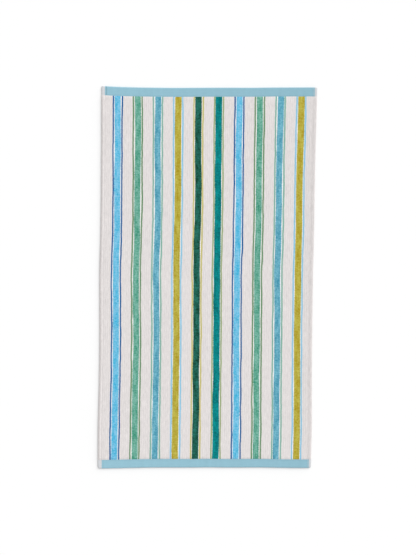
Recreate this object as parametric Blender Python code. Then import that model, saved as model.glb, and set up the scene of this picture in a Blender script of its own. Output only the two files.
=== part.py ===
"""Hand towel, 50 x 90 cm class, lying flat: one piece of velour terry cloth with flat-woven hems.

Frame: metres, +Z up, origin under the middle of the towel's box, on the surface it lies on.
+Y runs up the towel's length, +X across it, and the printed face looks up.

The cloth is one closed solid. Its top is a grid over the towel's own outline: the sides lean and
wave a little, as a soft cloth laid by hand does, the corners are rounded, and the edges roll down
to a thin rim. The pile stands higher than the woven bands at the two ends, which are turned under
and sewn, and a shallow seam runs inside each side hem. The underside is one flat face.
"""

import bmesh
import bpy
import numpy as np

# Driving dimensions, in metres
LENGTH = 0.900            # from hem to hem, along the middle
WIDTH = 0.5086            # from side to side, half way up
PILE_TOP = 0.0036         # height of the sheared pile
BAND_TOP = 0.0030         # height of the flat-woven end hem, three layers of plain weave
BOTTOM_BAND = 0.0208      # from the bottom end of the towel to the first row of pile
TOP_BAND = 0.0220         # from the last row of pile to the top end
BAND_STEP = 0.0026        # the slope from a woven band up to the pile
SIDE_HEM = 0.0085         # from the side of the towel to the seam of its side hem
HEM_CROWN = 0.0006        # how far a rolled side hem stands above the pile
SEAM_WIDTH = 0.0030       # the trough that the seam presses into the pile
SEAM_DEPTH = 0.0002
CORNER_TOP = 0.0031       # the side hem where it laps the woven band
RIM_HEIGHT = 0.0008       # upright edge of the cloth where it meets the surface
LEFT_ROLL = 0.0054        # how far in from each edge the cloth still rounds down
RIGHT_ROLL = 0.0020
END_ROLL = 0.0018
ROLL_SQUARENESS = 2.1     # exponent of the rolled edge, 2 being a quarter ellipse
ROLL_SHARES = (0.0, 0.10, 0.35, 1.0)   # where across a roll the grid has a line
CELL = 0.0180             # largest grid cell of the flat middle

# How far the long edges stand to the right (+) of straight, at heights up the towel from its middle
SIDES_MM = (
    # up_mm, left_mm, right_mm
    (-450.0, -4.7, -7.4),
    (-417.0, -4.0, -6.9),
    (-351.0, -3.5, -5.3),
    (-285.0, -1.9, -5.3),
    (-218.0, -0.4, -5.1),
    (-152.0, 0.3, -4.6),
    (-53.0, 0.2, -3.4),
    (14.0, 0.2, -2.3),
    (80.0, 2.0, -0.6),
    (180.0, 3.5, 1.1),
    (279.0, 4.3, 3.0),
    (390.0, 4.6, 6.0),
    (450.0, 4.6, 7.5),
)

# How far the short ends stand above (+) straight, at places across the towel from its middle
ENDS_MM = (
    # across_mm, bottom_mm, top_mm
    (-254.0, -2.3, 4.0),
    (-224.0, -1.8, 2.2),
    (-176.0, -0.7, 0.7),
    (-128.0, 0.2, -0.1),
    (-80.0, 0.3, -0.6),
    (-33.0, 0.3, -0.4),
    (13.0, 0.7, -0.2),
    (61.0, 0.2, -0.2),
    (108.0, 0.5, -0.3),
    (155.0, 0.2, 0.3),
    (203.0, -0.7, 0.4),
    (254.0, -0.7, 0.5),
)

# The radius on which each corner turns
CORNERS_MM = (
    # at_right, at_top, radius_mm
    (False, False, 7.0),
    (True, False, 4.5),
    (False, True, 3.0),
    (True, True, 3.0),
)

# Soft swells and hollows that the cloth keeps from being folded away
SWELLS_MM = (
    # across_mm, up_mm, reach_across_mm, reach_up_mm, height_mm
    (-168.0, 262.0, 70.0, 150.0, 0.28),
    (62.0, 305.0, 90.0, 95.0, -0.24),
    (176.0, 96.0, 62.0, 170.0, 0.26),
    (-52.0, 34.0, 110.0, 80.0, 0.22),
    (-196.0, -148.0, 48.0, 130.0, -0.26),
    (34.0, -196.0, 95.0, 120.0, 0.24),
    (188.0, -292.0, 60.0, 90.0, -0.22),
    (-112.0, -352.0, 85.0, 60.0, 0.20),
)

OFF_WHITE = (0.787, 0.742, 0.735, 1.0)
PALE_BLUE = (0.296, 0.533, 0.630, 1.0)
COTTON_ROUGHNESS = 0.95
SHARP_ANGLE = 50.0        # degrees between faces past which an edge is shaded sharp

MM = 0.001


def clear_scene():
    """Remove every object, so that the towel stands alone in the file."""
    for thing in list(bpy.data.objects):
        bpy.data.objects.remove(thing, do_unlink=True)


def column(table, index):
    """One column of a millimetre table, in metres."""
    return np.array([row[index] for row in table]) * MM


def smooth_curve(at, places, values):
    """Cubic Hermite curve through the rows of a table, each row's slope taken from its neighbours."""
    slopes = np.gradient(values, places)
    low = np.clip(np.searchsorted(places, at) - 1, 0, len(places) - 2)
    step = places[low + 1] - places[low]
    t = np.clip((at - places[low]) / step, 0.0, 1.0)
    start = (2 * t**3 - 3 * t**2 + 1) * values[low] + (t**3 - 2 * t**2 + t) * step * slopes[low]
    end = (3 * t**2 - 2 * t**3) * values[low + 1] + (t**3 - t**2) * step * slopes[low + 1]
    return start + end


def ease(share):
    """Smooth step from 0 to 1."""
    share = np.clip(share, 0.0, 1.0)
    return share * share * (3.0 - 2.0 * share)


def grid_lines(size, low_edge, high_edge):
    """Places from 0 to size: close together by the two edges, then evenly spaced over the middle."""
    middle = size - low_edge[-1] - high_edge[-1]
    cells = round(middle / CELL)
    inner = low_edge[-1] + middle * np.arange(1, cells) / cells
    return np.concatenate([low_edge, inner, size - np.array(high_edge[::-1])])


def side_lines():
    """Grid lines across the towel: the rolled edges, the side hems with their seams, the middle."""
    left, right = (
        [share * roll for share in ROLL_SHARES]
        + [0.5 * (roll + SIDE_HEM), SIDE_HEM, SIDE_HEM + SEAM_WIDTH]
        for roll in (LEFT_ROLL, RIGHT_ROLL)
    )
    return grid_lines(WIDTH, left, right)


def end_lines():
    """Grid lines up the towel: the rolled ends, the bands, their steps to the pile, the middle."""
    roll = [share * END_ROLL for share in ROLL_SHARES]
    bottom, top = (
        roll + [0.5 * (END_ROLL + band), band, band + BAND_STEP]
        for band in (BOTTOM_BAND, TOP_BAND)
    )
    return grid_lines(LENGTH, bottom, top)


def rounded(across, up):
    """Draw the four corners in: each ring of the grid at an inset s turns its corner on an arc of
    radius r - s about the same centre, r in from both edges. A point that lies b past the corner
    along its ring sits at the angle 45 degrees times (r - b) / (r - s)."""
    across, up = across.copy(), up.copy()
    for at_right, at_top, radius_mm in CORNERS_MM:
        radius = radius_mm * MM
        a = WIDTH - across if at_right else across
        b = LENGTH - up if at_top else up
        inset, past = np.minimum(a, b), np.maximum(a, b)
        turned = past < radius
        reach = np.where(turned, radius - inset, 1.0)
        angle = np.where(turned, np.pi / 4 * (radius - past) / reach, 0.0)
        near, far = radius - reach * np.cos(angle), radius - reach * np.sin(angle)
        new_a = np.where(turned, np.where(a <= b, near, far), a)
        new_b = np.where(turned, np.where(a <= b, far, near), b)
        across = WIDTH - new_a if at_right else new_a
        up = LENGTH - new_b if at_top else new_b
    return across, up


def laid_out(across, up):
    """Place of a point of the cloth on the surface. Between the two long edges, and between the two
    short ends, the offsets of the edges are blended in proportion."""
    x, y = across - WIDTH / 2, up - LENGTH / 2
    right_share, top_share = across / WIDTH, up / LENGTH
    left = smooth_curve(y, column(SIDES_MM, 0), column(SIDES_MM, 1))
    right = smooth_curve(y, column(SIDES_MM, 0), column(SIDES_MM, 2))
    bottom = smooth_curve(x, column(ENDS_MM, 0), column(ENDS_MM, 1))
    top = smooth_curve(x, column(ENDS_MM, 0), column(ENDS_MM, 2))
    return x + left + (right - left) * right_share, y + bottom + (top - bottom) * top_share


def past_band(up):
    """How far a place lies from the nearer woven band, past its edge into the pile."""
    return np.minimum(up - BOTTOM_BAND, LENGTH - TOP_BAND - up)


def surface_height(across, up):
    """Height of the printed face: woven band, or side hem lapped over it, or pile, with the crown
    of the side hem as a squared sine across it, less the seam troughs, plus the soft swells,
    rolled down to the rim on a quarter superellipse."""
    from_left, from_right, from_top = across, WIDTH - across, LENGTH - up
    from_side = np.minimum(from_left, from_right)
    hem_share = 1.0 - ease((from_side - SIDE_HEM) / SEAM_WIDTH)
    pile_share = ease(past_band(up) / BAND_STEP)
    height = BAND_TOP + (CORNER_TOP - BAND_TOP) * hem_share
    height += (PILE_TOP - height) * pile_share
    height += HEM_CROWN * pile_share * np.sin(np.pi * np.clip(from_side / SIDE_HEM, 0.0, 1.0)) ** 2
    height -= SEAM_DEPTH * pile_share * np.exp(-(((from_side - SIDE_HEM) / (0.5 * SEAM_WIDTH)) ** 2))
    for across_mm, up_mm, reach_across_mm, reach_up_mm, height_mm in SWELLS_MM:
        far_across = (across - WIDTH / 2 - across_mm * MM) / (reach_across_mm * MM)
        far_up = (up - LENGTH / 2 - up_mm * MM) / (reach_up_mm * MM)
        height += height_mm * MM * np.exp(-(far_across**2) - far_up**2)
    inward = np.minimum(
        np.minimum(from_left / LEFT_ROLL, from_right / RIGHT_ROLL),
        np.minimum(up, from_top) / END_ROLL,
    )
    inward = np.clip(inward, 0.0, 1.0)
    roll = (1.0 - (1.0 - inward) ** ROLL_SQUARENESS) ** (1.0 / ROLL_SQUARENESS)
    return RIM_HEIGHT + (height - RIM_HEIGHT) * roll


def cotton(name, colour):
    """Matt cotton of one colour."""
    material = bpy.data.materials.new(name)
    material.use_nodes = True
    shader = material.node_tree.nodes["Principled BSDF"]
    shader.inputs["Base Color"].default_value = colour
    shader.inputs["Roughness"].default_value = COTTON_ROUGHNESS
    shader.inputs["Metallic"].default_value = 0.0
    return material


def shape_face(shape):
    """The printed face, as a grid over the laid-out cloth. Its second material is on the bands,
    between the side hems."""
    sides, ends = side_lines(), end_lines()
    cells_across, cells_up = len(sides) - 1, len(ends) - 1
    bmesh.ops.create_grid(shape, x_segments=cells_across, y_segments=cells_up, size=0.5)
    shape.verts.index_update()
    plan = np.array([vertex.co[:2] for vertex in shape.verts]) + 0.5
    across = sides[np.rint(plan[:, 0] * cells_across).astype(int)]
    up = ends[np.rint(plan[:, 1] * cells_up).astype(int)]

    x, y = laid_out(*rounded(across, up))
    x -= 0.5 * (x.min() + x.max())
    y -= 0.5 * (y.min() + y.max())
    places = np.column_stack([x, y, surface_height(across, up)])
    for vertex, place in zip(shape.verts, places):
        vertex.co = place

    for face in shape.faces:
        corners = [vertex.index for vertex in face.verts]
        middle_across, middle_up = across[corners].mean(), up[corners].mean()
        on_hem = min(middle_across, WIDTH - middle_across) < SIDE_HEM
        face.material_index = int(past_band(middle_up) < 0.0 and not on_hem)


def close_below(shape):
    """An upright rim dropped from the face's edge, and one flat underside across its foot."""
    rim = [edge for edge in shape.edges if edge.is_boundary]
    skirt = bmesh.ops.extrude_edge_only(shape, edges=rim)["geom"]
    for item in skirt:
        if isinstance(item, bmesh.types.BMVert):
            item.co.z = 0.0
    foot = [edge for edge in shape.edges if edge.is_boundary]
    bmesh.ops.edgeloop_fill(shape, edges=foot)
    bmesh.ops.recalc_face_normals(shape, faces=shape.faces)


def towel():
    """The whole cloth, its hems included, as one closed solid."""
    shape = bmesh.new()
    shape_face(shape)
    close_below(shape)
    mesh = bpy.data.meshes.new("towel")
    shape.to_mesh(mesh)
    shape.free()
    mesh.shade_smooth()
    mesh.set_sharp_from_angle(angle=np.radians(SHARP_ANGLE))
    mesh.materials.append(cotton("velour_terry_off_white", OFF_WHITE))
    mesh.materials.append(cotton("woven_band_pale_blue", PALE_BLUE))
    cloth = bpy.data.objects.new("towel", mesh)
    bpy.context.scene.collection.objects.link(cloth)


clear_scene()
towel()
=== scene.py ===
"""Looks of the hand towel: sheared terry printed in lengthwise stripes, laid flat, seen from above.

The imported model's frame is in metres. The cloth is worked out in its own millimetres: `across` runs
from its left side and `up` from its bottom end, before it is laid out with its leaning, wavy edges.
"""

import bpy
import numpy as np
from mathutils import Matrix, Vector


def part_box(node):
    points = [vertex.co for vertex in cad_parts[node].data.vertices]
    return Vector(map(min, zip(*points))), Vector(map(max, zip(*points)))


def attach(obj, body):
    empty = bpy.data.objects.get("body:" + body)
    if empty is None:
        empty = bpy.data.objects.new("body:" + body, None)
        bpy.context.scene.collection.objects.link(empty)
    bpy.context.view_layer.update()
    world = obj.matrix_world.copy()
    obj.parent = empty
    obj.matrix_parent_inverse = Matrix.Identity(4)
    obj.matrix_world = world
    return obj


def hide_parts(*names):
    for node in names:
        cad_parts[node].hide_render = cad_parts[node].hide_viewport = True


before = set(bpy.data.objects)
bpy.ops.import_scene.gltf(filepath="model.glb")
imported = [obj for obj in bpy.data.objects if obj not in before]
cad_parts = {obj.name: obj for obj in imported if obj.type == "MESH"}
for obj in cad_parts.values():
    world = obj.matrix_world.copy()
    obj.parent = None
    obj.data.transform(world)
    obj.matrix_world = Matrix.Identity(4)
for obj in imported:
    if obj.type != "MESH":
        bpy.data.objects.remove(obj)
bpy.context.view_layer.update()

MM = 0.001

# The cloth, in millimetres, as its solid has it
LENGTH = 900.0            # from hem to hem
WIDTH = 508.6             # from side to side
PILE_TOP = 3.6            # height of the sheared pile
BAND_TOP = 3.0            # height of the flat-woven end bands
BOTTOM_BAND = 20.8        # from each end to its first row of pile
TOP_BAND = 22.0
BAND_STEP = 2.6           # the slope from a woven band up to the pile
SIDE_HEM = 8.5            # from a side of the towel to the seam of its hem
HEM_CROWN = 0.6           # how far a rolled side hem stands above the pile
SEAM_WIDTH = 3.0          # the trough that a seam presses into the pile
SEAM_DEPTH = 0.2
CORNER_TOP = 3.1          # the side hem where it laps a woven band
RIM_HEIGHT = 0.8          # edge of the cloth, below which it turns under
LEFT_ROLL = 5.4           # how far in from each edge the cloth still rounds down
RIGHT_ROLL = 2.0
END_ROLL = 1.8
ROLL_SQUARENESS = 2.1     # exponent of the rolled edge, 2 being a quarter ellipse

# How far the long edges stand to the right (+) of straight, at heights up the towel from its middle,
# and how far the cloth halfway between them bows to the right of the line between the two
SIDES = (
    # up, left, bow, right
    (-450.0, -4.7, 0.5, -7.4),
    (-417.0, -4.0, 0.4, -6.9),
    (-351.0, -3.5, 0.3, -5.3),
    (-285.0, -1.9, 0.0, -5.3),
    (-218.0, -0.4, -0.2, -5.1),
    (-152.0, 0.3, -0.2, -4.6),
    (-53.0, 0.2, -0.3, -3.4),
    (14.0, 0.2, -0.9, -2.3),
    (80.0, 2.0, -0.9, -0.6),
    (180.0, 3.5, -0.6, 1.1),
    (279.0, 4.3, -1.7, 3.0),
    (390.0, 4.6, -2.3, 6.0),
    (450.0, 4.6, -2.3, 7.5),
)

# How far the short ends stand above (+) straight, at places across the towel from its middle
ENDS = (
    # across, bottom, top
    (-254.0, -2.3, 4.0),
    (-224.0, -1.8, 2.2),
    (-176.0, -0.7, 0.7),
    (-128.0, 0.2, -0.1),
    (-80.0, 0.3, -0.6),
    (-33.0, 0.3, -0.4),
    (13.0, 0.7, -0.2),
    (61.0, 0.2, -0.2),
    (108.0, 0.5, -0.3),
    (155.0, 0.2, 0.3),
    (203.0, -0.7, 0.4),
    (254.0, -0.7, 0.5),
)

# The radius on which each corner turns
CORNERS = (
    # at_right, at_top, radius
    (False, False, 7.0),
    (True, False, 4.5),
    (False, True, 3.0),
    (True, True, 3.0),
)

# Soft swells and hollows that the cloth keeps from being folded away
SWELLS = (
    # across, up, reach_across, reach_up, height
    (-168.0, 262.0, 70.0, 150.0, 0.28),
    (62.0, 305.0, 90.0, 95.0, -0.24),
    (176.0, 96.0, 62.0, 170.0, 0.26),
    (-52.0, 34.0, 110.0, 80.0, 0.22),
    (-196.0, -148.0, 48.0, 130.0, -0.26),
    (34.0, -196.0, 95.0, 120.0, 0.24),
    (188.0, -292.0, 60.0, 90.0, -0.22),
    (-112.0, -352.0, 85.0, 60.0, 0.20),
)

# Form that the solid leaves to the looks, in millimetres
LUMPS = (
    # cell, height
    (15.0, 0.07),
    (6.0, 0.05),
)
PUCKER, PUCKER_CELL = 0.12, 11.0    # how far the woven band puckers between its stitches
TUCK, TUCK_HEIGHT = 0.35, 0.35      # the rim turns under: first ring in, and its height
BACK_TUCK = 1.3                     # ring where the rim meets the underside
BACK_REST = 0.12                    # thread and loops hold the weave of the back this far up
FOLD_PAST = 1.3                     # a turned-under hem runs this far past its seam
LEDGE, LEDGE_REACH = 0.55, 5.0      # step from a turned-under hem up to the back, and its run-out
END_SEAM = 2.8                      # stitch line of an end hem, out from the pile

# Grid of the cloth, in millimetres
COLUMN_PITCH = 2.6        # grid lines across the pile
ROW_PITCH = 3.0           # grid lines up the pile
ROLL_SHARES = (0.0, 0.04, 0.12, 0.24, 0.42, 0.66, 1.0)     # lines at these shares of a roll
SEAM_LINES = (-0.8, 0.0, 1.2, 1.8, 2.4)                    # lines this far in from a side seam
BAND_ROWS, STEP_ROWS = 6, 4         # rows of cells on a woven band, and on its step to the pile
STEP_FOOT = 0.6           # the step's rows start this share of it before the pile
OUTLINE_SAMPLES = 200     # places along each edge that its extent is read from

# Sewing, in millimetres
STITCH_PITCH, STITCH_LENGTH = 3.3, 2.9
THREAD = 0.42             # the thread's diameter
STITCH_SKEW = 0.5         # how far a stitch may slant, in shares of the thread's radius
FACE_RISE, BACK_RISE = 0.35, 0.22   # a stitch's middle over each side, in shares of the diameter

# Tufts of pile, in millimetres; a pair is the range of a random number
TUFT_WIDTH = 0.56         # a tip of cut yarn
TUFT_FACING = (0.3, 0.2, 1.0)       # direction that sets how a tuft is turned about itself
END_TUFT_PITCH = 0.62     # tufts along the pile's edge by a woven band
END_TUFT_ROWS = (0.3, 0.9, 1.6)     # how far in from that edge each row stands
END_TUFT_SHIFT = 0.25     # how far a tuft may stand from its row
END_TUFT_SINK = (0.1, 0.3)          # its middle's depth under the face
END_TUFT_BEND = 0.3       # how far it may lean along the edge
END_TUFT_LEAN = (0.1, 0.5)          # how far it leans over the band
END_TUFT_LIFT = (0.2, 0.4)
SIDE_TUFT_PITCH = 0.70    # tufts along a rolled side
SIDE_TUFT_ROWS = (0.25, 0.9, 1.8, 2.9)     # how far in from the side each row stands
SIDE_TUFT_SHIFT = 0.2
SIDE_TUFT_SINK = 0.25
SIDE_TUFT_LENGTH = (0.45, 0.75)
SIDE_TUFT_BEND, SIDE_TUFT_SWAY = 0.15, 0.25        # how far it may lean across and up the side
SLOPE_STEP = 0.1          # distance over which the face's slope is read

# The print, in millimetres
STRIPE_PITCH = 48.1
FIRST_STRIPE = 39.5       # from the left side to the middle of the first stripe
STRIPE_COUNT = 10
LINE_OFFSET = 10.5        # from a stripe's middle to the middle of each edging line
LINE_HALF = 1.85          # half of a line's width
STRIPE_WANDER = 2.6       # noise of 0 to 1 moves a stripe this far either way
LINE_WANDER = 2.2         # and a line this far
WANDER_CELL = 120.0       # cell of that noise up the cloth
PRINT_FADE = 0.4          # a print's edge fades from this far inside it to as far outside
LINE_FEATHER = 0.5        # share of the feathering that a line's edge has
RAMP_MM = 10.0            # a ramp holds values up to 1, so it gives half widths in this unit
LINE_INK = (0.85, 1.0)    # how strongly a line prints, from its thinnest to its fullest

# The printed stripes in their order, with their colours as sRGB hex
STRIPES = (
    # name, half_width, deep, pale, line
    ("sky", 7.3, "39a7cd", "85c1de", "0c5a92"),
    ("green", 7.2, "388a70", "7eb3a4", "5e865f"),
    ("steel", 7.3, "3e8aa2", "77b3c5", "77a89a"),
    ("mustard", 7.7, "a08a1d", "bab352", "82bbd7"),
    ("dark green", 7.8, "0a3826", "287164", "bbb36a"),
    ("teal", 7.9, "015e61", "078e8f", "8fa274"),
)
OFF_WHITE = "d6d1d0"
GAP_WHITE = "eae8e6"      # the thin gap between a stripe and its edging lines shows paler
BAND_BLUE = "8bb4c3"
SHADED_MARGIN_GREY = "c6c8cb"    # undyed margins beside the blue bands, greyed with painted shade
LOOP_WHITE = "d2ccc8"
THREAD_BLUE = "86afbf"
THREAD_WHITE = "d0cac8"

# Pile, weave, loops and thread, in millimetres
RIB_PITCH = 4.7           # rows of pile run up the cloth about 1.3 mm apart, drawn coarser to show
BUNDLE = (1.1, 1.5)       # a bundle of cut fibre, across and up
RIGHT_SHADE_FROM, RIGHT_SHADE_TO = 36.0, 16.0     # painted shade: the pile darkens between these distances from the right side
WEFT_PITCH = 0.8          # weft threads of the woven bands
WEFT_RIB_PITCH = 3.6      # ribs of the same weft, drawn coarser to show
MARGIN_BOTTOM_LEFT, MARGIN_TOP_LEFT, MARGIN_RIGHT = 10.0, 8.6, 5.6     # undyed ends of the bands
MARGIN_FADE = 0.4         # the dye ends from this far inside a margin's edge to as far outside
LAP_LINE = 3.8            # shade where the left hem laps a band, from the margin's edge
LAP_INNER, LAP_OUTER = 0.6, 2.0     # it is full to the first of these, and gone past the second
LOOPS_PER_MM = 0.55
TWIST_SCALE, TWIST_SLANT = 0.8, 0.6        # ridges of the thread, and their slant in radians
WAVE_MM = 2 * np.pi / 20            # a wave texture at this scale repeats once a millimetre

# Tones, as shares of a finish's own colour
BUNDLE_GAP_SHADE_TONES = (1.09, 0.99)         # on a bundle of pile, and in the gap beside it, darker there as painted shade
ROW_TONES = (0.965, 1.035)          # along and between the rows of pile
# painted shade by the right side
RIGHT_SHADE_TONE = 0.965
RIB_TONES = (0.98, 1.02)
BAND_PAINTED_LIGHT_ACROSS = (1.035, 0.955)  # painted light: a band's left and right ends
BAND_PAINTED_LIGHT_UP = (1.03, 1.0)         # painted light: the bottom band and the top one
LAP_TONES = (0.94, 0.76)            # the same, in the shade beside the left hem
LOOP_GAP_SHADE_TONES = (1.04, 0.88)           # on a loop, and between loops, darker there as painted shade
# painted shade in a thread's twist: in its grooves, and on its ridges
TWIST_GROOVE_SHADE_TONES = (0.88, 1.04)

# Noise in the finishes, with its cells in millimetres and what 0.3 and 0.7 of it become
NOISES = {
    # name: (cell_across, cell_up, detail, roughness, low, high)
    "feather": (2.2, 2.2, 2.0, 0.7, -0.5, 0.5),
    "patches": (9.0, 30.0, 4.0, 0.6, 0.05, 0.95),
    "flecks": (5.5, 4.0, 3.0, 0.7, -0.5, 0.5),
    "fibres": (0.45, 0.45, 3.0, 0.7, -0.5, 0.5),
    "streaks": (2.2, 16.0, 2.0, 0.6, 0.92, 1.08),
    # painted sheen: wide patches where the nap lies differently
    "nap_sheen": (60.0, 90.0, 3.0, 0.6, 0.985, 1.015),
    "slubs": (14.0, 1.8, 4.0, 0.65, 0.965, 1.035),
    "warp": (10.0, 70.0, 3.0, 0.6, 0.98, 1.02),
}

# Camera and light, in metres
PHOTO_TALL = 555          # pixels
TOWEL_TALL = 380.15       # pixels from hem to hem in the photograph
LENS, SENSOR = 100.0, 36.0          # millimetres
CAMERA_SHIFT = (0.0015, -0.0006)
FLOOR_SIZE, FLOOR_DROP = 60.0, 0.0001
FLOOR_WHITE = 0.860
LIGHT_LEVEL = 1.165       # how bright a perfectly white level surface renders
KEY_SHARE = 0.30
KEY_HEIGHT, KEY_BEARING, KEY_SOFTNESS = 26.0, 45.0, 50.0    # degrees


def linear(hex_colour):
    """An sRGB hex colour as linear red, green, blue and alpha."""
    srgb = np.array([int(hex_colour[i:i + 2], 16) for i in (0, 2, 4)]) / 255.0
    low, high = srgb / 12.92, ((srgb + 0.055) / 1.055) ** 2.4
    return (*np.where(srgb <= 0.04045, low, high).tolist(), 1.0)


def smooth_curve(at, table, column):
    """Cubic Hermite curve through a table's rows, each row's slope taken from its neighbours."""
    places = np.array([row[0] for row in table])
    values = np.array([row[column] for row in table])
    slopes = np.gradient(values, places)
    low = np.clip(np.searchsorted(places, at) - 1, 0, len(places) - 2)
    step = places[low + 1] - places[low]
    t = np.clip((at - places[low]) / step, 0.0, 1.0)
    start = (2 * t**3 - 3 * t**2 + 1) * values[low] + (t**3 - 2 * t**2 + t) * step * slopes[low]
    end = (3 * t**2 - 2 * t**3) * values[low + 1] + (t**3 - t**2) * step * slopes[low + 1]
    return start + end


def ease(share):
    """Smooth step from 0 to 1."""
    share = np.clip(share, 0.0, 1.0)
    return share * share * (3.0 - 2.0 * share)


def random_field(across, up, cell_across, cell_up, seed):
    """Smooth random height: normal numbers on a lattice of cells, blended by eased weights."""
    lattice = np.random.default_rng(seed).standard_normal(
        (int(WIDTH / cell_across) + 3, int(LENGTH / cell_up) + 3)
    )
    a, b = across / cell_across, up / cell_up
    i, j = np.floor(a).astype(int), np.floor(b).astype(int)
    s, t = ease(a - i), ease(b - j)
    low = lattice[i, j] * (1 - s) + lattice[i + 1, j] * s
    high = lattice[i, j + 1] * (1 - s) + lattice[i + 1, j + 1] * s
    return low * (1 - t) + high * t


def rounded(across, up):
    """Draw the corners in: a ring of the grid at an inset s turns its corner on an arc of radius
    r - s about one centre, and a point b past the corner sits at 45 degrees times (r - b)/(r - s)."""
    across, up = across.copy(), up.copy()
    for at_right, at_top, radius in CORNERS:
        a = WIDTH - across if at_right else across
        b = LENGTH - up if at_top else up
        inset, past = np.minimum(a, b), np.maximum(a, b)
        turned = past < radius
        reach = np.where(turned, radius - inset, 1.0)
        angle = np.where(turned, np.pi / 4 * (radius - past) / reach, 0.0)
        near, far = radius - reach * np.cos(angle), radius - reach * np.sin(angle)
        new_a = np.where(turned, np.where(a <= b, near, far), a)
        new_b = np.where(turned, np.where(a <= b, far, near), b)
        across = WIDTH - new_a if at_right else new_a
        up = LENGTH - new_b if at_top else new_b
    return across, up


def laid_out(across, up):
    """Place of a point of the cloth on the surface, in millimetres. The offsets of the two long
    edges, and of the two short ends, are blended in proportion to the share s of the way between
    them, and the bow is added at 4 s (1 - s)."""
    across, up = rounded(across, up)
    x, y = across - WIDTH / 2, up - LENGTH / 2
    s, t = across / WIDTH, up / LENGTH
    left, bow, right = (smooth_curve(y, SIDES, column) for column in (1, 2, 3))
    bottom, top = smooth_curve(x, ENDS, 1), smooth_curve(x, ENDS, 2)
    return x + left + (right - left) * s + bow * 4 * s * (1 - s), y + bottom + (top - bottom) * t


def past_band(up):
    """How far a place lies from the nearer woven band, past its edge into the pile."""
    return np.minimum(up - BOTTOM_BAND, LENGTH - TOP_BAND - up)


def trough(distance, width):
    """A soft round trough, 1 at its bottom line."""
    return np.exp(-((distance / (0.5 * width)) ** 2))


def face_height(across, up):
    """Height of the printed face: woven band, lapped side hem or pile, the crown of the side hem as
    a squared sine across it, less the troughs of the seams, half as wide and deep at the ends, plus
    swells, lumps and puckers, rolled down to the rim on a superellipse."""
    from_side = np.minimum(across, WIDTH - across)
    from_end = np.minimum(up, LENGTH - up)
    hem = 1.0 - ease((from_side - SIDE_HEM) / SEAM_WIDTH)
    pile = ease(past_band(up) / BAND_STEP)
    height = BAND_TOP + (CORNER_TOP - BAND_TOP) * hem
    height += (PILE_TOP - height) * pile
    height += pile * HEM_CROWN * np.sin(np.pi * np.clip(from_side / SIDE_HEM, 0.0, 1.0)) ** 2
    height -= SEAM_DEPTH * trough(from_side - SIDE_HEM, SEAM_WIDTH)
    height -= 0.5 * SEAM_DEPTH * trough(past_band(up) + END_SEAM, 0.5 * SEAM_WIDTH)
    for swell_across, swell_up, reach_across, reach_up, swell in SWELLS:
        far_across = (across - WIDTH / 2 - swell_across) / reach_across
        far_up = (up - LENGTH / 2 - swell_up) / reach_up
        height += swell * np.exp(-(far_across**2) - far_up**2)
    for seed, (cell, lump) in enumerate(LUMPS):
        height += pile * lump * random_field(across, up, cell, cell, seed)
    height += (1 - pile) * PUCKER * random_field(across, up, PUCKER_CELL, LENGTH / 2, seed=5)
    inward = np.minimum(across / LEFT_ROLL, (WIDTH - across) / RIGHT_ROLL)
    inward = np.clip(np.minimum(inward, from_end / END_ROLL), 0.0, 1.0)
    roll = (1.0 - (1.0 - inward) ** ROLL_SQUARENESS) ** (1.0 / ROLL_SQUARENESS)
    return RIM_HEIGHT + (height - RIM_HEIGHT) * roll


def back_height(across, up):
    """Height of the underside: turned-under hems lie level, a ledge rises from each fold and runs
    out exponentially, and the loops between them lie a little unevenly."""
    from_side = np.minimum(across, WIDTH - across)
    past_fold = np.minimum(from_side - SIDE_HEM, past_band(up) + END_SEAM) - FOLD_PAST
    cell, lump = LUMPS[0]
    uneven = np.abs(random_field(across, up, cell, cell, seed=6)) * lump
    return BACK_REST + np.where(past_fold > 0, LEDGE * np.exp(-past_fold / LEDGE_REACH) + uneven, 0.0)


def grid_lines(size, low_edge, high_edge, pitch):
    """Grid lines from 0 to size: close by the two edges, then at the pitch, an even cell count."""
    middle = size - low_edge[-1] - high_edge[-1]
    cells = 2 * round(middle / pitch / 2)
    inner = low_edge[-1] + middle * np.arange(1, cells) / cells
    return np.concatenate([low_edge, inner, size - np.array(high_edge[::-1])])


def end_lines(band):
    """Grid lines in from an end: its roll, its woven band, and the step up to the pile."""
    roll = [share * END_ROLL for share in ROLL_SHARES]
    woven = np.linspace(END_ROLL, band - STEP_FOOT * BAND_STEP, BAND_ROWS + 1)[1:].tolist()
    step = np.linspace(woven[-1], band + BAND_STEP, STEP_ROWS + 1)[1:].tolist()
    return roll + woven + step


def grid_quads(columns, rows):
    """Quads of a grid of columns x rows points numbered across first, facing up."""
    corner = np.arange(rows - 1)[:, None] * columns + np.arange(columns - 1)
    quads = np.stack([corner, corner + 1, corner + columns + 1, corner + columns], axis=-1)
    return quads.reshape(-1, 4)


def grid_rim(columns, rows):
    """Point numbers round a grid's rim: along the bottom, up the right, back along the top, down."""
    bottom = np.arange(columns)
    right = np.arange(1, rows) * columns + columns - 1
    top = (rows - 1) * columns + np.arange(columns - 2, -1, -1)
    left = np.arange(rows - 2, 0, -1) * columns
    return np.concatenate([bottom, right, top, left])


def drawn_in(across, up, inset):
    """The cloth's plan shrunk evenly until its rim lies at the inset."""
    return (
        inset + across * (WIDTH - 2 * inset) / WIDTH,
        inset + up * (LENGTH - 2 * inset) / LENGTH,
    )


def in_metres(x, y, z):
    """Millimetres of the laid-out cloth as points of the frame, centred on the solid's box."""
    return np.stack([x - CENTRE[0], y - CENTRE[1], z], axis=-1) * MM + FRAME_CENTRE


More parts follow.
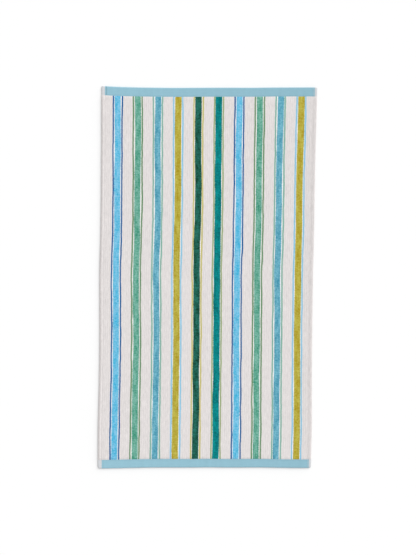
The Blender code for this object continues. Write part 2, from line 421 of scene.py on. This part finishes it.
def add_piece(name, points, quads, triangles, cloth_mm, materials, slots=None):
    """A mesh object from whole arrays, with its cloth millimetres as a UV map."""
    mesh = bpy.data.meshes.new(name)
    corners = np.concatenate([np.ravel(quads), np.ravel(triangles)]).astype(np.int32)
    sizes = np.concatenate([np.full(len(quads), 4), np.full(len(triangles), 3)])
    mesh.vertices.add(len(points))
    mesh.vertices.foreach_set("co", np.ravel(points).astype(np.float32))
    mesh.loops.add(len(corners))
    mesh.loops.foreach_set("vertex_index", corners)
    mesh.polygons.add(len(sizes))
    mesh.polygons.foreach_set("loop_start", (np.cumsum(sizes) - sizes).astype(np.int32))
    if slots is not None:
        mesh.polygons.foreach_set("material_index", slots.astype(np.int32))
    mesh.update(calc_edges=True)
    mesh.validate()
    mesh.shade_smooth()
    places = mesh.uv_layers.new(name="cloth_mm")
    places.data.foreach_set("uv", np.ravel(cloth_mm[corners]).astype(np.float32))
    for material in materials:
        mesh.materials.append(material)
    piece = bpy.data.objects.new(name, mesh)
    bpy.context.scene.collection.objects.link(piece)
    return piece


def make_cloth(velour, band, loops):
    """The whole cloth as one closed sheet. Its face is a fine grid, its underside a grid of half as
    many cells each way, and two rings join their rims."""
    left, right = (
        [share * roll for share in ROLL_SHARES] + [0.5 * (roll + SIDE_HEM)]
        + [SIDE_HEM + line for line in SEAM_LINES]
        for roll in (LEFT_ROLL, RIGHT_ROLL)
    )
    columns = grid_lines(WIDTH, left, right, COLUMN_PITCH)
    rows = grid_lines(LENGTH, end_lines(BOTTOM_BAND), end_lines(TOP_BAND), ROW_PITCH)

    across, up = (np.ravel(plan) for plan in np.meshgrid(columns, rows))
    rim = grid_rim(len(columns), len(rows))
    ring_across, ring_up = drawn_in(across[rim], up[rim], TUCK)
    back_plan = np.meshgrid(columns[::2], rows[::2])
    back_across, back_up = (np.ravel(p) for p in drawn_in(*back_plan, BACK_TUCK))

    points = np.concatenate([
        in_metres(*laid_out(across, up), face_height(across, up)),
        in_metres(*laid_out(ring_across, ring_up), np.full(len(rim), TUCK_HEIGHT)),
        in_metres(*laid_out(back_across, back_up), back_height(back_across, back_up)),
    ])
    all_across = np.concatenate([across, ring_across, back_across])
    all_up = np.concatenate([up, ring_up, back_up])

    ring = len(across) + np.arange(len(rim))
    back_start = len(across) + len(rim)
    back = back_start + grid_rim(len(columns[::2]), len(rows[::2]))
    face_quads = grid_quads(len(columns), len(rows))
    rim_quads = np.stack([rim, ring, np.roll(ring, -1), np.roll(rim, -1)], axis=-1)
    back_quads = back_start + grid_quads(len(columns[::2]), len(rows[::2]))[:, ::-1]
    first, middle, last = ring[::2], ring[1::2], np.roll(ring, -1)[1::2]
    triangles = np.concatenate([
        np.stack([first, back, middle], axis=-1),
        np.stack([middle, back, np.roll(back, -1)], axis=-1),
        np.stack([middle, np.roll(back, -1), last], axis=-1),
    ])
    quads = np.concatenate([face_quads, rim_quads, back_quads])

    middle_across = np.concatenate([all_across[f].mean(axis=1) for f in (quads, triangles)])
    middle_up = np.concatenate([all_up[f].mean(axis=1) for f in (quads, triangles)])
    below = np.concatenate([np.zeros(len(face_quads) + len(rim_quads), bool),
                            np.ones(len(back_quads), bool), np.zeros(len(triangles), bool)])
    on_side_hem = np.minimum(middle_across, WIDTH - middle_across) < SIDE_HEM + FOLD_PAST
    velour_slot, band_slot, loops_slot = range(3)
    slots = np.where(below & ~on_side_hem, loops_slot, velour_slot)
    slots[past_band(middle_up) < 0] = band_slot
    cloth_mm = np.stack([all_across, all_up], axis=-1)
    return add_piece("towel_cloth", points, quads, triangles, cloth_mm, (velour, band, loops), slots)


def spindle(rings, sides, fullness):
    """A closed spindle along its first axis, from -1 to 1: rings of points at the cosines of even
    angles, with radius the sine to the power of the fullness, and a pole at each end."""
    turn = np.pi * np.arange(1, rings + 1) / (rings + 1)
    around = 2 * np.pi * np.arange(sides) / sides
    radius = np.sin(turn) ** fullness
    body = np.stack([
        np.repeat(-np.cos(turn), sides),
        np.outer(radius, np.cos(around)).ravel(),
        np.outer(radius, np.sin(around)).ravel(),
    ], axis=-1)
    points = np.concatenate([body, [[-1.0, 0.0, 0.0], [1.0, 0.0, 0.0]]])
    low = np.arange(sides)
    beside = np.roll(low, -1)
    start = (np.arange(rings - 1) * sides)[:, None]
    quads = np.stack([start + low, start + sides + low, start + sides + beside, start + beside], -1)
    first_pole, last_pole, last = len(body), len(body) + 1, (rings - 1) * sides
    triangles = np.concatenate([
        np.stack([np.full(sides, first_pole), low, beside], -1),
        np.stack([np.full(sides, last_pole), last + beside, last + low], -1),
    ])
    return points, quads.reshape(-1, 4)[:, ::-1], triangles[:, ::-1]


def repeated(form, centres, along, aside, upward):
    """One form at many places: its three axes become each place's own three vectors."""
    points, quads, triangles = form
    spread = (
        centres[:, None, :]
        + points[None, :, :1] * along[:, None, :]
        + points[None, :, 1:2] * aside[:, None, :]
        + points[None, :, 2:] * upward[:, None, :]
    )
    first = (np.arange(len(centres)) * len(points))[:, None, None]
    return spread.reshape(-1, 3), (quads + first).reshape(-1, 4), (triangles + first).reshape(-1, 3)


def make_stitches(name, seams, upright, thread):
    """A row of lockstitches on the face and on the back of each seam: short spindles of thread
    that dip into the cloth at both ends. A seam is its line, and where its run starts and ends."""
    rng = np.random.default_rng(11)
    parts = []
    for line, run_from, run_to in seams:
        count = int((run_to - run_from) / STITCH_PITCH)
        run = run_from + (np.arange(count) + 0.5) * (run_to - run_from) / count
        fixed, reach, still = np.full(count, line), 0.5 * STITCH_LENGTH, 0.0
        across, up = (fixed, run) if upright else (run, fixed)
        step_across, step_up = (still, reach) if upright else (reach, still)
        for height, rise in ((face_height, FACE_RISE), (back_height, BACK_RISE)):
            z = height(across, up) + rise * THREAD
            low = in_metres(*laid_out(across - step_across, up - step_up), z)
            high = in_metres(*laid_out(across + step_across, up + step_up), z)
            along = 0.5 * (high - low)
            aside = np.cross([0.0, 0.0, 1.0], along)
            aside *= 0.5 * THREAD * MM / np.linalg.norm(aside, axis=1, keepdims=True)
            along += aside * rng.uniform(-STITCH_SKEW, STITCH_SKEW, (count, 1))
            upward = np.tile([0.0, 0.0, 0.5 * THREAD * MM], (count, 1))
            parts.append((0.5 * (low + high), along, aside, upward))
    form = spindle(rings=4, sides=6, fullness=0.6)
    centres, along, aside, upward = (np.concatenate(column) for column in zip(*parts))
    points, quads, triangles = repeated(form, centres, along, aside, upward)
    places = np.tile(form[0][:, :2] * [0.5 * STITCH_LENGTH, 0.5 * THREAD], (len(centres), 1))
    return add_piece(name, points, quads, triangles, places, (thread,))


def add_tufts(name, rows, velour):
    """Rows of pile tufts, joined: each row gives their middles on the cloth, their heights, and the
    vector from each middle to its tip. A tuft takes the print's colour where it stands."""
    form = spindle(rings=2, sides=4, fullness=0.7)
    across, up, z, reach = (np.concatenate(column) for column in zip(*rows))
    centres = in_metres(*laid_out(across, up), z)
    reach = reach * MM
    half_width = 0.5 * TUFT_WIDTH * MM
    aside = np.cross(reach, TUFT_FACING)
    aside *= half_width / np.linalg.norm(aside, axis=1, keepdims=True)
    upward = np.cross(reach, aside)
    upward *= half_width / np.linalg.norm(upward, axis=1, keepdims=True)
    points, quads, triangles = repeated(form, centres, reach, aside, upward)
    places = np.repeat(np.stack([across, up], -1), len(form[0]), axis=0)
    return add_piece(name, points, quads, triangles, places, (velour,))


def scattered(rng, first, last, count):
    """Places from first to last, one at random in each of as many even steps."""
    return first + (np.arange(count) + rng.uniform(0.0, 1.0, count)) * (last - first) / count


def make_end_tufts(velour):
    """The uneven edge of the pile: rows of tufts stand on the slope down to each woven band, and
    lean over it by different amounts."""
    rng = np.random.default_rng(23)
    first, last = LEFT_ROLL, WIDTH - RIGHT_ROLL
    count = int((last - first) / END_TUFT_PITCH)
    rows = []
    for edge, outward in ((BOTTOM_BAND, -1.0), (LENGTH - TOP_BAND, 1.0)):
        for inset in END_TUFT_ROWS:
            across = scattered(rng, first, last, count)
            up = edge - outward * (inset + rng.uniform(-END_TUFT_SHIFT, END_TUFT_SHIFT, count))
            z = face_height(across, up) - rng.uniform(*END_TUFT_SINK, count)
            reach = np.stack([
                rng.uniform(-END_TUFT_BEND, END_TUFT_BEND, count),
                outward * rng.uniform(*END_TUFT_LEAN, count),
                rng.uniform(*END_TUFT_LIFT, count),
            ], -1)
            rows.append((across, up, z, reach))
    return add_tufts("pile_edge_tufts", rows, velour)


def make_side_tufts(velour):
    """The pile on the rolled side hems: rows of tufts point out of the surface, each bent a little
    its own way. The way out comes from the height's slope s across the cloth, as (s, 1) over its
    own length."""
    rng = np.random.default_rng(31)
    first, last = BOTTOM_BAND, LENGTH - TOP_BAND
    count = int((last - first) / SIDE_TUFT_PITCH)
    rows = []
    for outward in (-1.0, 1.0):
        for from_side in SIDE_TUFT_ROWS:
            up = scattered(rng, first, last, count)
            inward = from_side + rng.uniform(-SIDE_TUFT_SHIFT, SIDE_TUFT_SHIFT, count)
            across = inward if outward < 0 else WIDTH - inward
            height = face_height(across, up)
            slope = (face_height(across - SLOPE_STEP * outward, up) - height) / SLOPE_STEP
            out, rise = slope / np.hypot(slope, 1.0), 1.0 / np.hypot(slope, 1.0)
            length = rng.uniform(*SIDE_TUFT_LENGTH, count)
            reach = np.stack([
                length * outward * out + rng.uniform(-SIDE_TUFT_BEND, SIDE_TUFT_BEND, count),
                rng.uniform(-SIDE_TUFT_SWAY, SIDE_TUFT_SWAY, count),
                length * rise,
            ], -1)
            sunk_across = across - SIDE_TUFT_SINK * outward * out
            rows.append((sunk_across, up, height - SIDE_TUFT_SINK * rise, reach))
    return add_tufts("side_pile_tufts", rows, velour)


def put(tree, kind, sockets, ramp=None, **settings):
    """Add a node, set its settings and its sockets' values or links, and its ramp's stops. Sockets
    go by name or number: a Map Range has its value at 0, its range at 1 and 2, and what that becomes
    at 3 and 4, and a Mix has its share at 0 and its two colours at 6 and 7."""
    node = tree.nodes.new(kind)
    for setting, value in settings.items():
        setattr(node, setting, value)
    for socket, value in sockets.items():
        if isinstance(value, bpy.types.NodeSocket):
            tree.links.new(value, node.inputs[socket])
        else:
            node.inputs[socket].default_value = value
    if ramp:
        stops = node.color_ramp.elements
        while len(stops) < len(ramp):
            stops.new(1.0)
        for stop, (position, colour) in zip(stops, ramp):
            stop.position, stop.color = position, colour
    return node


def new_material(name, roughness, sheen, specular):
    """A cotton material, its node tree, its Principled shader with the even values on its sockets,
    and a point's place on the cloth in millimetres, from the piece's UV map."""
    material = bpy.data.materials.new(name)
    material.use_nodes = True
    tree = material.node_tree
    shader = tree.nodes["Principled BSDF"]
    shader.inputs["Roughness"].default_value = roughness
    shader.inputs["Specular IOR Level"].default_value = specular
    shader.inputs["Sheen Weight"].default_value = sheen
    shader.inputs["Sheen Roughness"].default_value = 0.6
    place = put(tree, "ShaderNodeUVMap", {}, uv_map="cloth_mm").outputs["UV"]
    return material, tree, shader, place


def noise(tree, place, name):
    """One of the noises of the finishes, spread so that 0.3 to 0.7 becomes its low to its high."""
    cell_across, cell_up, detail, roughness, low, high = NOISES[name]
    cells = put(tree, "ShaderNodeMapping", {"Vector": place,
                "Scale": (1 / cell_across, 1 / cell_up, 1.0)}).outputs[0]
    value = put(tree, "ShaderNodeTexNoise", {"Vector": cells, "Scale": 1.0, "Detail": detail,
                "Roughness": roughness}).outputs[0]
    return put(tree, "ShaderNodeMapRange", {0: value, 1: 0.3, 2: 0.7, 3: low, 4: high},
               clamp=False).outputs[0]


def stripe_masks(tree, across, up, place):
    """Masks of the stripes, of their edging lines and of the gaps between the two, the stripe's
    place in the colour cycle, and the lines' own noise. The stripe number is the whole part of
    (across - first) / pitch + 1/2, and the distance from its middle wanders with noise along the
    cloth, as a hand-painted stripe does."""
    share = put(tree, "ShaderNodeMath", {0: across, 1: 1 / STRIPE_PITCH,
                2: 0.5 - FIRST_STRIPE / STRIPE_PITCH}, operation="MULTIPLY_ADD").outputs[0]
    number = put(tree, "ShaderNodeMath", {0: share}, operation="FLOOR").outputs[0]
    part = put(tree, "ShaderNodeMath", {0: share}, operation="FRACT").outputs[0]
    beside = put(tree, "ShaderNodeMath", {0: part, 1: STRIPE_PITCH, 2: -STRIPE_PITCH / 2},
                 operation="MULTIPLY_ADD").outputs[0]
    printed = put(tree, "ShaderNodeMath", {0: number, 1: (STRIPE_COUNT - 1) / 2,
                  2: STRIPE_COUNT / 2}, operation="COMPARE").outputs[0]

    # Each stripe and each of its two lines wanders by its own noise, read along the cloth. The
    # stripes read it 7.3 cells apart, their lines 2.9 to either side of them and 40 deeper, so
    # that none repeats another's.
    own = put(tree, "ShaderNodeMath", {0: number, 1: 7.3}, operation="MULTIPLY").outputs[0]
    along = put(tree, "ShaderNodeMath", {0: up, 1: 1 / WANDER_CELL}, operation="MULTIPLY").outputs[0]
    stripe_key = put(tree, "ShaderNodeCombineXYZ", {0: own, 1: along}).outputs[0]
    stripe_noise = put(tree, "ShaderNodeTexNoise", {"Vector": stripe_key, "Scale": 1.0,
                       "Detail": 4.0, "Roughness": 0.55}).outputs[0]
    wander = put(tree, "ShaderNodeMapRange", {0: stripe_noise, 1: 0.0, 2: 1.0,
                 3: -STRIPE_WANDER, 4: STRIPE_WANDER}, clamp=False).outputs[0]
    side = put(tree, "ShaderNodeMath", {0: beside}, operation="SIGN").outputs[0]
    line_own = put(tree, "ShaderNodeMath", {0: side, 1: 2.9, 2: own},
                   operation="MULTIPLY_ADD").outputs[0]
    line_key = put(tree, "ShaderNodeCombineXYZ", {0: line_own, 1: along, 2: 40.0}).outputs[0]
    line_noise = put(tree, "ShaderNodeTexNoise", {"Vector": line_key, "Scale": 2.0,
                     "Detail": 4.0, "Roughness": 0.6}).outputs[0]
    line_wander = put(tree, "ShaderNodeMapRange", {0: line_noise, 1: 0.0, 2: 1.0,
                      3: -LINE_WANDER, 4: LINE_WANDER}, clamp=False).outputs[0]

    turn = put(tree, "ShaderNodeMath", {0: number, 1: float(len(STRIPES))},
               operation="MODULO").outputs[0]
    cycle = put(tree, "ShaderNodeMath", {0: turn, 1: 1 / len(STRIPES), 2: 0.5 / len(STRIPES)},
                operation="MULTIPLY_ADD").outputs[0]
    widths = [(i / len(STRIPES), (row[1] / RAMP_MM, row[1] / RAMP_MM, row[1] / RAMP_MM, 1.0))
              for i, row in enumerate(STRIPES)]
    half = put(tree, "ShaderNodeValToRGB", {0: cycle}, ramp=widths)
    half.color_ramp.interpolation = "CONSTANT"

    # Stripes: the print covers what lies within its half width, feathered from tuft to tuft
    feather = noise(tree, place, "feather")
    offset = put(tree, "ShaderNodeMath", {0: beside, 1: wander}, operation="SUBTRACT").outputs[0]
    distance = put(tree, "ShaderNodeMath", {0: offset}, operation="ABSOLUTE").outputs[0]
    ragged = put(tree, "ShaderNodeMath", {0: distance, 1: feather}, operation="ADD").outputs[0]
    past = put(tree, "ShaderNodeMath", {0: half.outputs[0], 1: -RAMP_MM, 2: ragged},
               operation="MULTIPLY_ADD").outputs[0]
    stripe = put(tree, "ShaderNodeMapRange", {0: past, 1: -PRINT_FADE, 2: PRINT_FADE, 3: 1.0, 4: 0.0},
                 interpolation_type="SMOOTHSTEP").outputs[0]

    # Lines, and the gap from a line's inner edge to the stripe
    shifted = put(tree, "ShaderNodeMath", {0: beside, 1: line_wander},
                  operation="SUBTRACT").outputs[0]
    span = put(tree, "ShaderNodeMath", {0: shifted}, operation="ABSOLUTE").outputs[0]
    off_line = put(tree, "ShaderNodeMath", {0: span, 1: LINE_OFFSET},
                   operation="SUBTRACT").outputs[0]
    off_by = put(tree, "ShaderNodeMath", {0: off_line}, operation="ABSOLUTE").outputs[0]
    off_ragged = put(tree, "ShaderNodeMath", {0: feather, 1: LINE_FEATHER, 2: off_by},
                     operation="MULTIPLY_ADD").outputs[0]
    line = put(tree, "ShaderNodeMapRange", {0: off_ragged, 1: LINE_HALF - PRINT_FADE,
               2: LINE_HALF + PRINT_FADE, 3: 1.0, 4: 0.0}, interpolation_type="SMOOTHSTEP").outputs[0]
    gap = put(tree, "ShaderNodeMapRange", {0: off_line, 1: -LINE_HALF - 0.5 * PRINT_FADE,
              2: -LINE_HALF + PRINT_FADE, 3: 1.0, 4: 0.0}).outputs[0]

    stripe, line, gap = (
        put(tree, "ShaderNodeMath", {0: mask, 1: printed}, operation="MULTIPLY").outputs[0]
        for mask in (stripe, line, gap)
    )
    return stripe, line, gap, cycle, line_noise


def cycle_ramp(column):
    """Stops of a constant ramp that holds one column of the stripe colours."""
    return [(i / len(STRIPES), linear(row[column])) for i, row in enumerate(STRIPES)]


def printed_velour():
    """Sheared cotton terry, reactive print: cut pile scatters light evenly, so the face is matt and
    chalky, a little uneven in tone from tuft to tuft with painted shade between tufts, and the dye lies
    in soft watery patches."""
    material, tree, shader, place = new_material("printed_cotton_velour", roughness=0.95,
                                                 sheen=0.05, specular=0.0)
    across, up = put(tree, "ShaderNodeSeparateXYZ", {0: place}).outputs[:2]
    stripe, line, gap, cycle, line_noise = stripe_masks(tree, across, up, place)

    # Watery dye: long patches and small flecks, between each stripe's deep and pale tones
    patches, flecks = noise(tree, place, "patches"), noise(tree, place, "flecks")
    watery = put(tree, "ShaderNodeMath", {0: patches, 1: flecks}, operation="ADD",
                 use_clamp=True).outputs[0]
    deep, pale, edging = (
        put(tree, "ShaderNodeValToRGB", {0: cycle}, ramp=cycle_ramp(column)) for column in (2, 3, 4)
    )
    for node in (deep, pale, edging):
        node.color_ramp.interpolation = "CONSTANT"
    dyed = put(tree, "ShaderNodeMix", {0: watery, 6: deep.outputs[0], 7: pale.outputs[0]},
               data_type="RGBA").outputs[2]

    # The print: the off-white ground with its paler gaps, the lines on it, whose ink runs thin here
    # and there, and the stripes over all
    ink = put(tree, "ShaderNodeMapRange", {0: line_noise, 1: 0.30, 2: 0.62,
              3: LINE_INK[0], 4: LINE_INK[1]}).outputs[0]
    line_ink = put(tree, "ShaderNodeMath", {0: line, 1: ink}, operation="MULTIPLY").outputs[0]
    ground = put(tree, "ShaderNodeMix", {0: gap, 6: linear(OFF_WHITE), 7: linear(GAP_WHITE)},
                 data_type="RGBA").outputs[2]
    with_line = put(tree, "ShaderNodeMix", {0: line_ink, 6: ground, 7: edging.outputs[0]},
                    data_type="RGBA").outputs[2]
    with_stripe = put(tree, "ShaderNodeMix", {0: stripe, 6: with_line, 7: dyed},
                      data_type="RGBA").outputs[2]

    # Cut pile: bundles of fibre, with painted shade in the gaps between them
    bundle_cells = put(tree, "ShaderNodeMapping", {"Vector": place,
                       "Scale": (1 / BUNDLE[0], 1 / BUNDLE[1], 1.0)}).outputs[0]
    bundles = put(tree, "ShaderNodeTexVoronoi", {"Vector": bundle_cells, "Scale": 1.0,
                  "Randomness": 0.9}).outputs["Distance"]
    bundle_gap_shade = put(tree, "ShaderNodeMapRange", {0: bundles, 1: 0.25, 2: 0.8,
                      3: BUNDLE_GAP_SHADE_TONES[0], 4: BUNDLE_GAP_SHADE_TONES[1]}).outputs[0]

    # Its tone also changes in short streaks, over wide patches of nap with painted sheen, along the
    # rows of pile, and it darkens towards the right side with painted shade
    right_shade = put(tree, "ShaderNodeMapRange", {0: across, 1: WIDTH - RIGHT_SHADE_FROM, 2: WIDTH - RIGHT_SHADE_TO,
               3: 1.0, 4: RIGHT_SHADE_TONE}, interpolation_type="SMOOTHSTEP").outputs[0]
    rows = put(tree, "ShaderNodeTexWave", {"Vector": place, "Scale": WAVE_MM / RIB_PITCH,
               "Distortion": 1.2, "Detail": 2.0, "Detail Scale": 0.5}).outputs["Fac"]
    row_tone = put(tree, "ShaderNodeMapRange", {0: rows, 3: ROW_TONES[0], 4: ROW_TONES[1]}).outputs[0]
    tone = noise(tree, place, "streaks")
    for share in (bundle_gap_shade, noise(tree, place, "nap_sheen"), row_tone, right_shade):
        tone = put(tree, "ShaderNodeMath", {0: tone, 1: share}, operation="MULTIPLY").outputs[0]
    toned = put(tree, "ShaderNodeVectorMath", {0: with_stripe, 1: tone}, operation="MULTIPLY")
    tree.links.new(toned.outputs[0], shader.inputs["Base Color"])

    fibres = noise(tree, place, "fibres")
    relief = put(tree, "ShaderNodeMath", {0: bundles, 1: -1.0, 2: fibres},
                 operation="MULTIPLY_ADD").outputs[0]
    bump = put(tree, "ShaderNodeBump", {"Strength": 0.8, "Distance": 0.35 * MM, "Height": relief})
    tree.links.new(bump.outputs[0], shader.inputs["Normal"])
    return material


def woven_band():
    """Plain-woven cotton, dyed in the yarn: flat and a little smoother than the pile, with fine
    weft ribs along the band, drawn at 3.6 mm where the real ones are about 0.8 mm, so they show.
    It is a little lighter towards the left and at the bottom end, as painted light. It stops short
    of the sides, where the turned hems are undyed and greyed with painted shade, with a thin shade
    where the left one laps over it."""
    material, tree, shader, place = new_material("plain_woven_cotton_band", roughness=0.88,
                                                 sheen=0.05, specular=0.05)
    across, up = put(tree, "ShaderNodeSeparateXYZ", {0: place}).outputs[:2]
    ribs = put(tree, "ShaderNodeTexWave", {"Vector": place, "Scale": WAVE_MM / WEFT_RIB_PITCH,
               "Distortion": 0.6, "Detail": 2.0}, bands_direction="Y").outputs["Fac"]
    threads = put(tree, "ShaderNodeTexWave", {"Vector": place, "Scale": WAVE_MM / WEFT_PITCH,
                  "Distortion": 0.4}, bands_direction="Y").outputs["Fac"]
    rib_tone = put(tree, "ShaderNodeMapRange", {0: ribs, 3: RIB_TONES[0], 4: RIB_TONES[1]}).outputs[0]
    # Painted light: the band is lighter towards its left end and at its bottom end
    painted_light_across = put(tree, "ShaderNodeMapRange", {0: across, 1: 0.0, 2: WIDTH,
                      3: BAND_PAINTED_LIGHT_ACROSS[0], 4: BAND_PAINTED_LIGHT_ACROSS[1]}).outputs[0]
    painted_light_up = put(tree, "ShaderNodeMapRange", {0: up, 1: 0.0, 2: LENGTH,
                  3: BAND_PAINTED_LIGHT_UP[0], 4: BAND_PAINTED_LIGHT_UP[1]}).outputs[0]
    tone = noise(tree, place, "slubs")
    for share in (noise(tree, place, "warp"), rib_tone, painted_light_across, painted_light_up):
        tone = put(tree, "ShaderNodeMath", {0: tone, 1: share}, operation="MULTIPLY").outputs[0]

    # The undyed margins: the left one is wider at the bottom end than at the top
    margin = put(tree, "ShaderNodeMapRange", {0: up, 1: 0.0, 2: LENGTH, 3: MARGIN_BOTTOM_LEFT,
                 4: MARGIN_TOP_LEFT}).outputs[0]
    past_left = put(tree, "ShaderNodeMath", {0: across, 1: margin}, operation="SUBTRACT").outputs[0]
    past_right = put(tree, "ShaderNodeMath", {0: WIDTH - MARGIN_RIGHT, 1: across},
                     operation="SUBTRACT").outputs[0]
    nearer = put(tree, "ShaderNodeMath", {0: past_left, 1: past_right}, operation="MINIMUM").outputs[0]
    dyed = put(tree, "ShaderNodeMapRange", {0: nearer, 1: -MARGIN_FADE, 2: MARGIN_FADE}).outputs[0]
    from_lap = put(tree, "ShaderNodeMath", {0: past_left, 1: LAP_LINE}, operation="SUBTRACT").outputs[0]
    off_lap = put(tree, "ShaderNodeMath", {0: from_lap}, operation="ABSOLUTE").outputs[0]
    lap_tone = put(tree, "ShaderNodeMapRange", {0: up, 1: 0.0, 2: LENGTH,
                   3: LAP_TONES[0], 4: LAP_TONES[1]}).outputs[0]
    lap = put(tree, "ShaderNodeMapRange", {0: off_lap, 1: LAP_INNER, 2: LAP_OUTER, 3: lap_tone,
              4: 1.0}, interpolation_type="SMOOTHSTEP").outputs[0]
    blue = put(tree, "ShaderNodeVectorMath", {0: linear(BAND_BLUE)[:3], 1: lap},
               operation="MULTIPLY").outputs[0]
    # The undyed margins, greyed with painted shade
    colour = put(tree, "ShaderNodeMix", {0: dyed, 6: linear(SHADED_MARGIN_GREY), 7: blue},
                 data_type="RGBA").outputs[2]
    toned = put(tree, "ShaderNodeVectorMath", {0: colour, 1: tone}, operation="MULTIPLY")
    tree.links.new(toned.outputs[0], shader.inputs["Base Color"])
    bump = put(tree, "ShaderNodeBump", {"Strength": 0.4, "Distance": 0.2 * MM, "Height": threads})
    tree.links.new(bump.outputs[0], shader.inputs["Normal"])
    return material


def loop_back():
    """Uncut terry loops, undyed: the towel's underside, rougher and a little darker in its gaps with
    painted shade.
    """
    material, tree, shader, place = new_material("uncut_cotton_loops", roughness=0.97,
                                                 sheen=0.10, specular=0.05)
    loops = put(tree, "ShaderNodeTexVoronoi", {"Vector": place, "Scale": LOOPS_PER_MM,
                "Randomness": 0.75}).outputs["Distance"]
    shade = put(tree, "ShaderNodeMapRange", {0: loops, 1: 0.0, 2: 0.9,
                3: LOOP_GAP_SHADE_TONES[0], 4: LOOP_GAP_SHADE_TONES[1]}).outputs[0]
    toned = put(tree, "ShaderNodeVectorMath", {0: linear(LOOP_WHITE)[:3], 1: shade},
                operation="MULTIPLY")
    tree.links.new(toned.outputs[0], shader.inputs["Base Color"])
    bump = put(tree, "ShaderNodeBump", {"Strength": 0.8, "Distance": 0.6 * MM, "Height": loops},
               invert=True)
    tree.links.new(bump.outputs[0], shader.inputs["Normal"])
    return material


def sewing_thread(name, hex_colour):
    """Spun polyester sewing thread: a slight gloss, with its twist as fine slanting ridges, and painted
    shade in the grooves between them.
    """
    material, tree, shader, place = new_material(name, roughness=0.6, sheen=0.0, specular=0.2)
    slanted = put(tree, "ShaderNodeMapping", {"Vector": place,
                  "Rotation": (0.0, 0.0, TWIST_SLANT)}).outputs[0]
    twist = put(tree, "ShaderNodeTexWave", {"Vector": slanted, "Scale": TWIST_SCALE}).outputs["Fac"]
    # Painted shade: the thread darkens in the grooves of its twist
    tone = put(tree, "ShaderNodeMapRange", {0: twist, 1: 0.0, 2: 1.0,
               3: TWIST_GROOVE_SHADE_TONES[0], 4: TWIST_GROOVE_SHADE_TONES[1]}).outputs[0]
    toned = put(tree, "ShaderNodeVectorMath", {0: linear(hex_colour)[:3], 1: tone},
                operation="MULTIPLY")
    tree.links.new(toned.outputs[0], shader.inputs["Base Color"])
    bump = put(tree, "ShaderNodeBump", {"Strength": 0.4, "Distance": 0.08 * MM, "Height": twist})
    tree.links.new(bump.outputs[0], shader.inputs["Normal"])
    return material


def make_floor():
    """A plain white surface, a hair's breadth under the towel: the corners of a square, in turn."""
    corners = np.array([[-1.0, -1.0, 0.0], [1.0, -1.0, 0.0], [1.0, 1.0, 0.0], [-1.0, 1.0, 0.0]])
    points = corners * FLOOR_SIZE / 2 - [0.0, 0.0, FLOOR_DROP]
    material = bpy.data.materials.new("matt_white_paper")
    material.use_nodes = True
    shader = material.node_tree.nodes["Principled BSDF"]
    shader.inputs["Base Color"].default_value = (FLOOR_WHITE, FLOOR_WHITE, FLOOR_WHITE, 1.0)
    shader.inputs["Roughness"].default_value = 0.9
    shader.inputs["Specular IOR Level"].default_value = 0.0
    floor = add_piece("floor", points, np.array([[0, 1, 2, 3]]), np.zeros((0, 3), int),
                      points[:, :2] / MM, (material,))


def make_lights():
    """An even white surround, and a wide soft key from the upper right of the picture."""
    world = bpy.data.worlds.new("surround")
    bpy.context.scene.world = world
    world.use_nodes = True
    sky = world.node_tree.nodes["Background"]
    sky.inputs["Color"].default_value = (1.0, 1.0, 1.0, 1.0)
    sky.inputs["Strength"].default_value = LIGHT_LEVEL * (1.0 - KEY_SHARE)
    height, bearing = np.radians(KEY_HEIGHT), np.radians(KEY_BEARING)
    lamp = bpy.data.lights.new("key", "SUN")
    lamp.energy = LIGHT_LEVEL * KEY_SHARE * np.pi / np.sin(height)
    lamp.angle = np.radians(KEY_SOFTNESS)
    key = bpy.data.objects.new("key", lamp)
    key.rotation_euler = (0.0, np.pi / 2 - height, bearing)
    bpy.context.scene.collection.objects.link(key)


def make_camera():
    """A long lens straight above, so that the towel spans the photograph's pixels."""
    seen_tall = PHOTO_TALL * LENGTH * MM / TOWEL_TALL
    lens = bpy.data.cameras.new("camera")
    lens.lens, lens.sensor_width, lens.sensor_fit = LENS, SENSOR, "AUTO"
    camera = bpy.data.objects.new("camera", lens)
    camera.location = (*CAMERA_SHIFT, PILE_TOP * MM + seen_tall * LENS / SENSOR)
    bpy.context.scene.collection.objects.link(camera)
    bpy.context.scene.camera = camera
    bpy.context.scene.view_settings.view_transform = "Standard"


def outline_middle():
    """Middle of the box round the laid-out cloth's left, right, bottom and top edges."""
    edge_up, edge_across = (np.linspace(0, size, OUTLINE_SAMPLES) for size in (LENGTH, WIDTH))
    zero, one = np.zeros(OUTLINE_SAMPLES), np.ones(OUTLINE_SAMPLES)
    x, y = laid_out(
        np.concatenate([zero, one * WIDTH, edge_across, edge_across]),
        np.concatenate([edge_up, edge_up, zero, one * LENGTH]),
    )
    return 0.5 * (x.min() + x.max()), 0.5 * (y.min() + y.max())


# The laid-out cloth is centred on its solid
low, high = (np.array(corner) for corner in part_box("towel"))
FRAME_CENTRE = np.array([*(0.5 * (low + high))[:2], low[2]])
CENTRE = outline_middle()

make_camera()
velour, band, loops = printed_velour(), woven_band(), loop_back()
cloth = make_cloth(velour, band, loops)
end_tufts, side_tufts = make_end_tufts(velour), make_side_tufts(velour)
end_seams = [(line, MARGIN_TOP_LEFT, WIDTH - MARGIN_RIGHT)
             for line in (BOTTOM_BAND - END_SEAM, LENGTH - TOP_BAND + END_SEAM)]
side_seams = [(line, END_ROLL, LENGTH - END_ROLL) for line in (SIDE_HEM, WIDTH - SIDE_HEM)]
blue_thread = sewing_thread("blue_sewing_thread", THREAD_BLUE)
white_thread = sewing_thread("white_sewing_thread", THREAD_WHITE)
end_stitches = make_stitches("end_hem_stitches", end_seams, upright=False, thread=blue_thread)
side_stitches = make_stitches("side_hem_stitches", side_seams, upright=True, thread=white_thread)

pieces = (cloth, end_tufts, side_tufts, end_stitches, side_stitches)
for piece in pieces:
    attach(piece, "root")
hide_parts("towel")
make_floor()
make_lights()
